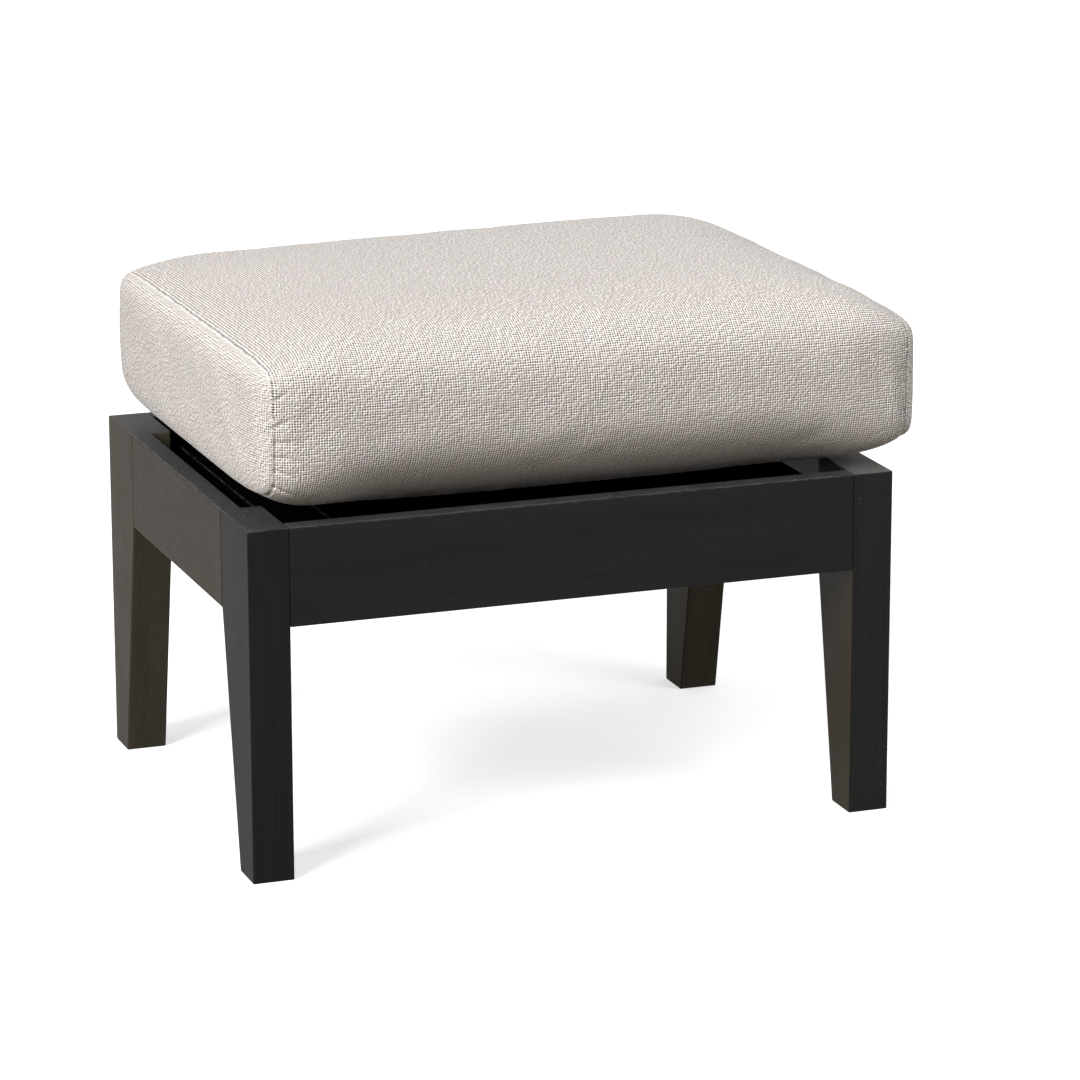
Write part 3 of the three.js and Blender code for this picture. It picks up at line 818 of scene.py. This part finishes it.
# Beside the upper seams the cover is drawn smooth: the folds go between these shares of the half
# height, and come back over this distance from the seam
SMOOTH_HEIGHTS = (0.25, 0.6)
SMOOTH_REACH = 45 * MM

frame_top = leg_high.z
zip_low, zip_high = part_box("zip_tape")


def ramp(value, start, end):
    """0 before start and 1 after end, smooth between them."""
    share = min(max((value - start) / (end - start), 0), 1)
    return share * share * (3 - 2 * share)


def freedom(place):
    """How freely the cover moves: not at all on the deck, by the frame's top or under the zip."""
    above_frame = ramp(place.z - frame_top, *FREE_HEIGHTS)
    off_zip_x = max(zip_low.x - place.x, place.x - zip_high.x, 0)
    off_zip_z = max(zip_low.z - place.z, place.z - zip_high.z, 0)
    in_front = max(zip_low.y - place.y, 0)
    off_zip = Vector((off_zip_x, in_front, off_zip_z)).length
    return above_frame * ramp(off_zip, 0, ZIP_MARGIN)


def seam_distance(share):
    """Metres from a point of the cover to the nearer seam, with its shares known."""
    s, t, w = (abs(value) for value in share)
    on_wrap = (1 - s) * SEAM_X
    on_end = min((1 - t) * SEAM_HALF_DEPTH, (1 - w) * SEAM_HALF_HEIGHT)
    return max(on_wrap, 0) + max(on_end, 0)


def evened(mesh, moves):
    """The moves of a mesh's points, each averaged with its neighbours' again and again."""
    neighbours = [[] for _ in mesh.vertices]
    for edge in mesh.edges:
        a, b = edge.vertices
        neighbours[a].append(b)
        neighbours[b].append(a)
    for _ in range(EVENING_ROUNDS):
        moves = [
            (move + sum((moves[n] for n in near), Vector())) / (len(near) + 1)
            for move, near in zip(moves, neighbours)
        ]
    return moves


def swell(shell):
    """A cloth simulation under pressure, of which the folds are kept and not the swelling."""
    mesh = shell.data
    base = [vertex.co.copy() for vertex in mesh.vertices]
    normals = [vertex.normal.copy() for vertex in mesh.vertices]
    shares = read_vectors(mesh, "shares")
    free = [freedom(place) for place in base]
    for vertex, place, normal, loose in zip(mesh.vertices, base, normals, free):
        vertex.co = place - normal * START_INSET * loose
    held = shell.vertex_groups.new(name="held")
    seam = shell.vertex_groups.new(name="seam")
    for number, (loose, share) in enumerate(zip(free, shares)):
        held.add([number], 1 - loose, "REPLACE")
        if seam_distance(share) < ON_SEAM:
            seam.add([number], 1, "REPLACE")
    cloth = shell.modifiers.new("swell", "CLOTH")
    for key, value in SWELL_SETTINGS.items():
        setattr(cloth.settings, key, value)
    cloth.settings.effector_weights.gravity = 0
    cloth.collision_settings.use_collision = False
    cloth.point_cache.frame_end = SWELL_FRAMES
    scene = bpy.context.scene
    for number in range(1, SWELL_FRAMES + 1):
        scene.frame_set(number)
    swollen = shell.evaluated_get(bpy.context.evaluated_depsgraph_get())
    places = [vertex.co.copy() for vertex in swollen.data.vertices]
    shell.modifiers.remove(cloth)
    scene.frame_set(1)
    moves = [(place - start) * loose for place, start, loose in zip(places, base, free)]
    even = evened(mesh, moves)
    parts = zip(mesh.vertices, base, moves, even, free, shares)
    for vertex, start, move, swelling, loose, share in parts:
        beside_seam = 1 - ramp(seam_distance(share), 0, SMOOTH_REACH)
        smooth = ramp(share.z, *SMOOTH_HEIGHTS) * beside_seam
        kept = (move - swelling) * FOLD_SHARE * (1 - smooth)
        if kept.length > 0:
            kept.length = FOLD_CAP * math.tanh(kept.length / FOLD_CAP)
        vertex.co = start + kept * loose
    shell.vertex_groups.clear()


def apply_modifier(piece, kind, **settings):
    modifier = piece.modifiers.new(kind.lower(), kind)
    for key, value in settings.items():
        setattr(modifier, key, value)
    bpy.context.view_layer.objects.active = piece
    bpy.ops.object.modifier_apply(modifier=modifier.name)


# Seams and puckers

SEAM_DEPTH = 1.3 * MM
UPPER_SEAM_DEPTH = 0.05 * MM
SEAM_WIDTH = 1.1 * MM
# The cloth stands up in a ridge beside a tight seam
RIDGE_HEIGHT = 0.35 * MM
RIDGE_PLACE = 2.4 * MM
# Shares of the half height between which the seams are drawn less tight
TIGHT_BELOW = -0.1
SLACK_ABOVE = 0.6
# The cushion's lowest cloth lies flat on the deck
RESTING_HEIGHT = 1 * MM
PUCKER_WIDTH = 1.7 * MM
PUCKER_DEPTH = 2.2 * MM
PUCKER_EVERY = 15 * MM
# A pucker reaches this many of its widths to each side
PUCKER_REACH = 4
# Millimetres above the floor, lengths and slopes of the puckers beside the front left seam
SHOWN_PUCKERS = [
    (438, 26, 0.17),
    (416, 30, 0.2),
    (401, 32, 0.06),
    (389, 28, 0.05),
    (377, 27, 0.01),
    (361, 30, -0.02),
]
# The other puckers' share of the depth, spacings, lengths in millimetres and slants
OTHER_PUCKERS_SHARE = 0.5
OTHER_SPACINGS = (0.6, 1.9)
OTHER_LENGTHS = (7, 22)
OTHER_SLANTS = (-0.2, 0.2)
# The upper seams are rolled over this far from them, above this share of the half height
ROLL_REACH = 16 * MM
ROLL_FROM = 0.1
ROLL_ROUNDS = 90


def round_upper_seams(shell):
    """The cover rolls over its upper seams softly, so their crease is smoothed away."""
    group = shell.vertex_groups.new(name="upper_seams")
    for number, share in enumerate(read_vectors(shell.data, "shares")):
        near = 1 - ramp(seam_distance(share), 0, ROLL_REACH)
        group.add([number], near * ramp(share.z, ROLL_FROM, 1), "REPLACE")
    apply_modifier(shell, "SMOOTH", factor=0.5, iterations=ROLL_ROUNDS, vertex_group=group.name)
    shell.vertex_groups.clear()


def add_puckers():
    """Each pucker's side, distance round the wrap panel, length, slant and depth."""
    scatter = random.Random("puckers")
    puckers = []
    for height, length, slope in SHOWN_PUCKERS:
        w = (height * MM - cushion_middle.z) / SEAM_HALF_HEIGHT
        place = rim_distance(-1, rim_share(-1, w))
        puckers.append((-1, place, length * MM, -slope, PUCKER_DEPTH))
    shown_from = puckers[0][1] - PUCKER_EVERY
    shown_to = puckers[-1][1] + PUCKER_EVERY
    for side in (-1, 1):
        place = rim_distance(side, 0)
        while place < rim_distance(side, RIM_SHARE):
            place += PUCKER_EVERY * scatter.uniform(*OTHER_SPACINGS)
            length = scatter.uniform(*OTHER_LENGTHS) * MM
            slant = scatter.uniform(*OTHER_SLANTS)
            if side == 1 or not shown_from < place < shown_to:
                puckers.append((side, place, length, slant, PUCKER_DEPTH * OTHER_PUCKERS_SHARE))
    return puckers


def groove(offset, width):
    """1 where the offset is 0, fading away on both sides of it."""
    return math.exp(-(offset / width) ** 2)


def pucker_depth(side, distance, place, puckers):
    """How far the puckers draw in a point of the wrap panel, this far from the seam."""
    total = 0
    for pucker_side, pucker_place, length, slant, depth in puckers:
        off = place - pucker_place - slant * distance
        within = distance < length and abs(off) < PUCKER_REACH * PUCKER_WIDTH
        if pucker_side == side and within:
            fade = 1 - ramp(distance, 0, length)
            total += depth * fade * groove(off, PUCKER_WIDTH)
    return total


def sew(shell):
    """Draws in the seams and puckers the cloth beside them."""
    mesh = shell.data
    normals = [vertex.normal.copy() for vertex in mesh.vertices]
    puckers = add_puckers()
    longest = max(length for _, _, length, _, _ in puckers)
    for vertex, normal, share in zip(mesh.vertices, normals, read_vectors(mesh, "shares")):
        s, t, w = share
        side = math.copysign(1, s)
        distance = seam_distance(share)
        tight = 1 - ramp(w, TIGHT_BELOW, SLACK_ABOVE)
        deepest = UPPER_SEAM_DEPTH + (SEAM_DEPTH - UPPER_SEAM_DEPTH) * tight
        depth = deepest * groove(distance, SEAM_WIDTH)
        if abs(s) < 1:
            depth -= RIDGE_HEIGHT * tight * groove(distance - RIDGE_PLACE, SEAM_WIDTH)
        if distance < longest and abs(s) < 1:
            place = rim_distance(side, rim_share(t, w))
            loose = 1 - ramp(w, SLACK_ABOVE, 1)
            depth += loose * pucker_depth(side, distance, place, puckers)
        resting = vertex.co.z < wrap_low.z + RESTING_HEIGHT
        if not resting:
            vertex.co -= normal * depth


def keep_normals(shell):
    """Notes the whole cover's normals, which its panels go on sharing along their seams."""
    write_vectors(shell.data, "outward", [vertex.normal.copy() for vertex in shell.data.vertices])


def share_normals(mesh, outer_count):
    """Shades a panel with the whole cover's normals, its inner side with their opposites."""
    normals = read_vectors(mesh, "outward")
    inner = [-normal for normal in normals[outer_count:]]
    mesh.normals_split_custom_set_from_vertices(normals[:outer_count] + inner)


def panel_piece(shell, panel, name):
    """One panel of the cover, cut out of the whole shell along its seams."""
    mesh = shell.data.copy()
    mesh.name = name
    edit = bmesh.new()
    edit.from_mesh(mesh)
    layer = edit.faces.layers.int["panel"]
    others = [face for face in edit.faces if face[layer] != PANELS.index(panel)]
    bmesh.ops.delete(edit, geom=others, context="FACES")
    edit.to_mesh(mesh)
    edit.free()
    piece = bpy.data.objects.new(name, mesh)
    put_in_scene(piece)
    return piece


CLOTH_THICKNESS = 0.8 * MM
FOAM_INSET = 3.2 * MM


def add_cushion():
    shell = build_shell()
    swell(shell)
    foam = shell.copy()
    foam.data = shell.data.copy()
    foam.name = foam.data.name = "cushion_core"
    put_in_scene(foam)
    insets = [vertex.co - vertex.normal * FOAM_INSET for vertex in foam.data.vertices]
    for vertex, place in zip(foam.data.vertices, insets):
        vertex.co = place
    foam.data.materials.append(plain_finish("foam", *FOAM))
    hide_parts("cushion_foam")
    apply_modifier(shell, "SUBSURF", levels=1, render_levels=1)
    round_upper_seams(shell)
    sew(shell)
    keep_normals(shell)
    wrap_cloth = woven_cloth("cover_cloth", True, WRAP_LEAST_OPEN)
    end_cloth = woven_cloth("cover_cloth_ends", False, END_LEAST_OPEN)
    pieces = [foam]
    covers = []
    for panel in PANELS:
        name = "cover_wrap" if panel == "wrap" else f"cover_end_{panel}"
        piece = panel_piece(shell, panel, name)
        outer_count = len(piece.data.vertices)
        apply_modifier(piece, "SOLIDIFY", thickness=CLOTH_THICKNESS, offset=-1)
        covers.append((piece.data, outer_count))
        piece.data.materials.append(wrap_cloth if panel == "wrap" else end_cloth)
        node = "cushion_wrap_panel" if panel == "wrap" else f"cushion_end_panel_{panel}"
        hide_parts(node)
        pieces.append(piece)
    bpy.data.objects.remove(shell)
    for piece in pieces:
        for polygon in piece.data.polygons:
            polygon.use_smooth = True
        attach(piece, "cushion")
    for mesh, outer_count in covers:
        share_normals(mesh, outer_count)


# Zip: two tapes with a coil of teeth between them, on the cushion's back

zip_middle = (zip_low + zip_high) / 2
CHAIN_END = 4 * MM
SMALL_EDGE = 0.18 * MM
SMOOTH_ANGLE = math.radians(40)
# A face looks along an axis when its normal's part along it is more than this
FACING = 0.5
# Tapes, ribbed along their length and corded beside the teeth
TAPE_DARK = (0.4, 0.365, 0.33)
TAPE_LIGHT = (0.6, 0.55, 0.51)
TAPE_THICKNESS = 0.8 * MM
TAPE_GAP = 1.2 * MM
RIB_PITCH = 1.1 * MM
RIB_SHARE = 0.45
RIB_ROUGHNESS = 0.1
RIB_DEPTH = 0.2 * MM
RIB_STRENGTH = 0.5
FIBRE_SCALE = (1400, 1400, 500)
CORD_STEPS = (0.45 * MM, 0.5 * MM)
CORD_REACH = 0.6 * MM
CORD_INSET = 0.12 * MM
CORD_RISE = 0.35 * MM
# Teeth
TOOTH_PITCH = 1.4 * MM
TOOTH_WIDTH = 0.85 * MM
TOOTH_TIP = 0.5 * MM
TOOTH_ROOT = 2.4 * MM
TOOTH_EDGE = 0.25 * MM
HOOK_LENGTH = 0.5 * MM
HOOK_SIZE = (1.2, 1, 1)
# Stitches
STITCH_ROWS = (5.2 * MM, 9.6 * MM)
STITCH_PITCH = 3.4 * MM
STITCH_LENGTH = 2.3 * MM
STITCH_WIDTH = 0.45 * MM
STITCH_SINK = 0.1 * MM
STITCH_RISE = 0.28 * MM
STITCH_TAPER = (1, 0.5, 0.6)
STITCH_EDGE = 0.12 * MM
# Stops
STOP_LENGTH = 2.2 * MM
STOP_HALF_HEIGHT = 2.5 * MM
STOP_SINK = 0.2 * MM
STOP_INSET = 0.35 * MM
STOP_DENT = 0.25 * MM
# Slider: its plate, and the bridge's radii, half width, straight foot and depth in the plate
PLATE_THICKNESS = 1.8 * MM
PLATE_TAPER = (1, 1, 0.5)
PLATE_INSET = 0.7 * MM
PLATE_DENT = 0.2 * MM
SLIDER_EDGE = 0.3 * MM
BRIDGE_OUTER = 5 * MM
BRIDGE_INNER = 3.6 * MM
BRIDGE_HALF_WIDTH = 1 * MM
BRIDGE_FOOT = 1.4 * MM
BRIDGE_SINK = 0.7 * MM
# Pull: the ends and the half height of its eye, counted from its end at the slider, and of its
# grip's hole, counted from its tail
PULL_TAPER = (1, 1, 0.78)
PULL_EDGE = 0.22 * MM
EYE = (-7.4 * MM, -1.4 * MM, 1.6 * MM)
EYE_EDGE = 0.6 * MM
GRIP = (3 * MM, 11 * MM, 1.1 * MM)
GRIP_EDGE = 1 * MM
CUT_OVER = 2 * MM


def tape_cloth():
    """A ribbed tape, whose ribs run along it, with painted shade in the grooves between them."""
    finish = Finish("zip_cloth", Specular_IOR_Level=CLOTH_GLOSS)
    point = finish.place()
    _, _, z = finish.parts(point)
    ribs = (z * (1 / RIB_PITCH)).wave()
    fibres = finish.noise(finish.moved(point, FIBRE_SCALE), 1, 2, 0.6)
    # The colour mixes painted shade between the ribs with the fibres' own mottle
    tone = ribs * RIB_SHARE + fibres * (1 - RIB_SHARE)
    finish.set(Base_Color=finish.mixed(tone, TAPE_DARK, TAPE_LIGHT))
    finish.set(Roughness=CLOTH_ROUGHNESS + ribs * RIB_ROUGHNESS)
    finish.set(Normal=finish.bump(tone, RIB_DEPTH, RIB_STRENGTH))
    return finish.material


def select_only(*pieces):
    """Selects these pieces and nothing else, and makes the first one active."""
    bpy.ops.object.select_all(action="DESELECT")
    for piece in pieces:
        piece.select_set(True)
    bpy.context.view_layer.objects.active = pieces[0]


def box_piece(name, low, high):
    """A box between two corners, as the start of a piece."""
    bpy.ops.object.select_all(action="DESELECT")
    middle = [(a + b) / 2 for a, b in zip(low, high)]
    size = [b - a for a, b in zip(low, high)]
    bpy.ops.mesh.primitive_cube_add(size=1, location=middle, scale=size)
    bpy.ops.object.transform_apply(location=True, rotation=True, scale=True)
    piece = bpy.context.object
    piece.name = piece.data.name = name
    return piece


def pick_faces(piece, test):
    """Edit mode on a piece, with the faces selected that pass a test on their middle and normal."""
    select_only(piece)
    bpy.ops.object.mode_set(mode="EDIT")
    bpy.ops.mesh.select_mode(type="FACE")
    bpy.ops.mesh.select_all(action="DESELECT")
    edit = bmesh.from_edit_mesh(piece.data)
    for face in edit.faces:
        face.select_set(test(face.calc_center_median(), face.normal))
    bmesh.update_edit_mesh(piece.data)


def backwards_face(middle, normal):
    """Whether a face looks backwards, away from the cushion."""
    return normal.y > FACING


def end_face(middle, normal):
    """Whether a face looks along the zip."""
    return abs(normal.x) > FACING


def close_edit():
    bpy.ops.object.mode_set(mode="OBJECT")


def extrude(move):
    """Pulls the picked faces out of their piece."""
    bpy.ops.mesh.extrude_region_move(TRANSFORM_OT_translate={"value": move})


def inset(width, rise):
    """Insets the picked faces and then raises them, or sinks them."""
    bpy.ops.mesh.inset(thickness=width)
    bpy.ops.transform.translate(value=(0, rise, 0))


def taper(piece, test, size):
    """Makes the faces of a piece that pass a test smaller."""
    pick_faces(piece, test)
    bpy.ops.transform.resize(value=size)
    close_edit()


def soften(piece, width, segments=2):
    """Rounds a piece's edges."""
    apply_modifier(piece, "BEVEL", width=width, segments=segments, limit_method="ANGLE")
    bpy.ops.object.shade_smooth_by_angle(angle=SMOOTH_ANGLE)


def repeat(piece, pitch, count):
    offset = {"use_relative_offset": False, "use_constant_offset": True}
    step = (pitch, 0, 0)
    apply_modifier(piece, "ARRAY", count=count, constant_offset_displace=step, **offset)


def join(pieces, name):
    select_only(*pieces)
    bpy.ops.object.join()
    pieces[0].name = pieces[0].data.name = name
    return pieces[0]


def finish_piece(piece, material, body, node):
    coat(piece, material)
    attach(piece, body)
    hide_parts(node)


def tape_strip(side):
    """One tape, side 1 above the teeth and -1 below them, with a corded edge beside them."""
    edge = zip_middle.z + side * TAPE_GAP / 2
    rim = zip_high.z if side == 1 else zip_low.z
    low = (zip_low.x, zip_low.y, min(edge, rim))
    high = (zip_high.x, zip_low.y + TAPE_THICKNESS, max(edge, rim))
    strip = box_piece("tape", low, high)
    pick_faces(strip, lambda middle, normal: normal.z * side < -FACING)
    for step in CORD_STEPS:
        extrude((0, 0, -side * step))
    close_edit()
    pick_faces(strip, lambda middle, normal: normal.y > FACING and abs(middle.z - edge) < CORD_REACH)
    inset(CORD_INSET, CORD_RISE)
    close_edit()
    soften(strip, SMALL_EDGE)
    return strip


def tooth_row(side):
    """The coil's loops that one tape holds; each is thicker where it hooks into the others."""
    start = zip_low.x + CHAIN_END + (TOOTH_PITCH / 2 if side == 1 else 0)
    base = zip_low.y + TAPE_THICKNESS
    tip = zip_middle.z - side * TOOTH_TIP
    root = zip_middle.z + side * TOOTH_ROOT
    low = (start, base, min(tip, root))
    high = (start + TOOTH_WIDTH, zip_high.y, max(tip, root))
    tooth = box_piece("tooth", low, high)
    pick_faces(tooth, lambda middle, normal: normal.z * side < -FACING)
    extrude((0, 0, -side * HOOK_LENGTH))
    bpy.ops.transform.resize(value=HOOK_SIZE)
    close_edit()
    soften(tooth, TOOTH_EDGE, segments=1)
    repeat(tooth, TOOTH_PITCH, int((zip_high.x - zip_low.x - 2 * CHAIN_END) / TOOTH_PITCH))
    return tooth


def stitch_row(height):
    """A row of stitches that holds a tape to the cover."""
    face = zip_low.y + TAPE_THICKNESS
    half = STITCH_WIDTH / 2
    low = (zip_low.x + STITCH_PITCH, face - STITCH_SINK, zip_middle.z + height - half)
    high = (low[0] + STITCH_LENGTH, face + STITCH_RISE, zip_middle.z + height + half)
    stitch = box_piece("stitch", low, high)
    taper(stitch, end_face, STITCH_TAPER)
    soften(stitch, STITCH_EDGE, segments=1)
    repeat(stitch, STITCH_PITCH, int((zip_high.x - zip_low.x) / STITCH_PITCH) - 1)
    return stitch


def end_stop(x):
    """A metal stop, clamped over both tapes at one end of the teeth."""
    half = STOP_LENGTH / 2
    base = zip_low.y + TAPE_THICKNESS - STOP_SINK
    low = (x - half, base, zip_middle.z - STOP_HALF_HEIGHT)
    high = (x + half, zip_high.y, zip_middle.z + STOP_HALF_HEIGHT)
    stop = box_piece("stop", low, high)
    pick_faces(stop, backwards_face)
    inset(STOP_INSET, -STOP_DENT)
    close_edit()
    soften(stop, SMALL_EDGE)
    return stop


def slider_body(low, high):
    """The slider: a plate with pointed ends, and a bridge on it that carries the pull."""
    plate_top = low.y + PLATE_THICKNESS
    middle = (low + high) / 2
    plate = box_piece("plate", low, (high.x, plate_top, high.z))
    pick_faces(plate, lambda centre, normal: True)
    bpy.ops.mesh.bisect(plane_co=middle, plane_no=(1, 0, 0))
    close_edit()
    taper(plate, end_face, PLATE_TAPER)
    pick_faces(plate, backwards_face)
    inset(PLATE_INSET, -PLATE_DENT)
    close_edit()
    soften(plate, SLIDER_EDGE, segments=3)
    arch_base = plate_top + BRIDGE_FOOT
    bridge = box_piece(
        "bridge",
        (middle.x - BRIDGE_OUTER, plate_top - BRIDGE_SINK, middle.z - BRIDGE_HALF_WIDTH),
        (middle.x - BRIDGE_INNER, arch_base, middle.z + BRIDGE_HALF_WIDTH),
    )
    pick_faces(bridge, backwards_face)
    hub = (middle.x, arch_base, middle.z)
    bpy.ops.mesh.spin(steps=12, angle=math.pi, center=hub, axis=(0, 0, 1))
    extrude((0, -BRIDGE_FOOT - BRIDGE_SINK, 0))
    close_edit()
    flatten = (high.y - arch_base) / BRIDGE_OUTER
    for vertex in bridge.data.vertices:
        if vertex.co.y > arch_base:
            vertex.co.y = arch_base + (vertex.co.y - arch_base) * flatten
    soften(bridge, SLIDER_EDGE)
    return join([plate, bridge], "slider_body")


def pull_tab(low, high):
    """The pull: a tapered tab with an eye round its bar and a hole near its tail."""
    tab = box_piece("pull_tab", low, high)
    taper(tab, lambda middle, normal: normal.x < -FACING, PULL_TAPER)
    middle = (low + high) / 2

    def through(name, x, start, end, half_height):
        """A box that cuts right through the tab."""
        corner = (x + start, low.y - CUT_OVER, middle.z - half_height)
        return box_piece(name, corner, (x + end, high.y + CUT_OVER, middle.z + half_height))

    eye = through("eye", high.x, *EYE)
    soften(eye, EYE_EDGE, segments=3)
    grip = through("grip", low.x, *GRIP)
    soften(grip, GRIP_EDGE, segments=4)
    for cutter in (eye, grip):
        apply_modifier(tab, "BOOLEAN", operation="DIFFERENCE", object=cutter, solver="EXACT")
        bpy.data.objects.remove(cutter)
    select_only(tab)
    soften(tab, PULL_EDGE)
    return tab


def add_zip():
    cloth = tape_cloth()
    nylon = plain_finish("zip_nylon", *ZIP_NYLON)
    metal = plain_finish("zip_metal", *ZIP_STEEL)
    tapes = join([tape_strip(side) for side in (1, -1)], "zip_tapes")
    heights = [side * row for side in (1, -1) for row in STITCH_ROWS]
    stitches = join([stitch_row(height) for height in heights], "zip_stitches")
    teeth = join([tooth_row(side) for side in (1, -1)], "zip_teeth")
    ends = (zip_low.x + CHAIN_END / 2, zip_high.x - CHAIN_END / 2)
    stops = join([end_stop(x) for x in ends], "zip_stops")
    for piece, finish in ((tapes, cloth), (stitches, nylon), (teeth, nylon)):
        finish_piece(piece, finish, "cushion", "zip_tape")
    finish_piece(stops, metal, "cushion", "zip_tape")
    finish_piece(slider_body(*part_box("zip_slider")), metal, "zip_slider", "zip_slider")
    finish_piece(pull_tab(*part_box("zip_pull")), metal, "zip_pull", "zip_pull")


add_camera()
add_cushion()
add_zip()
stain_frame()
finish_fasteners()
add_room()
add_floor()
for name, settings in SOFTBOXES.items():
    add_softbox(name, *settings)
bpy.context.scene.view_settings.view_transform = "Standard"
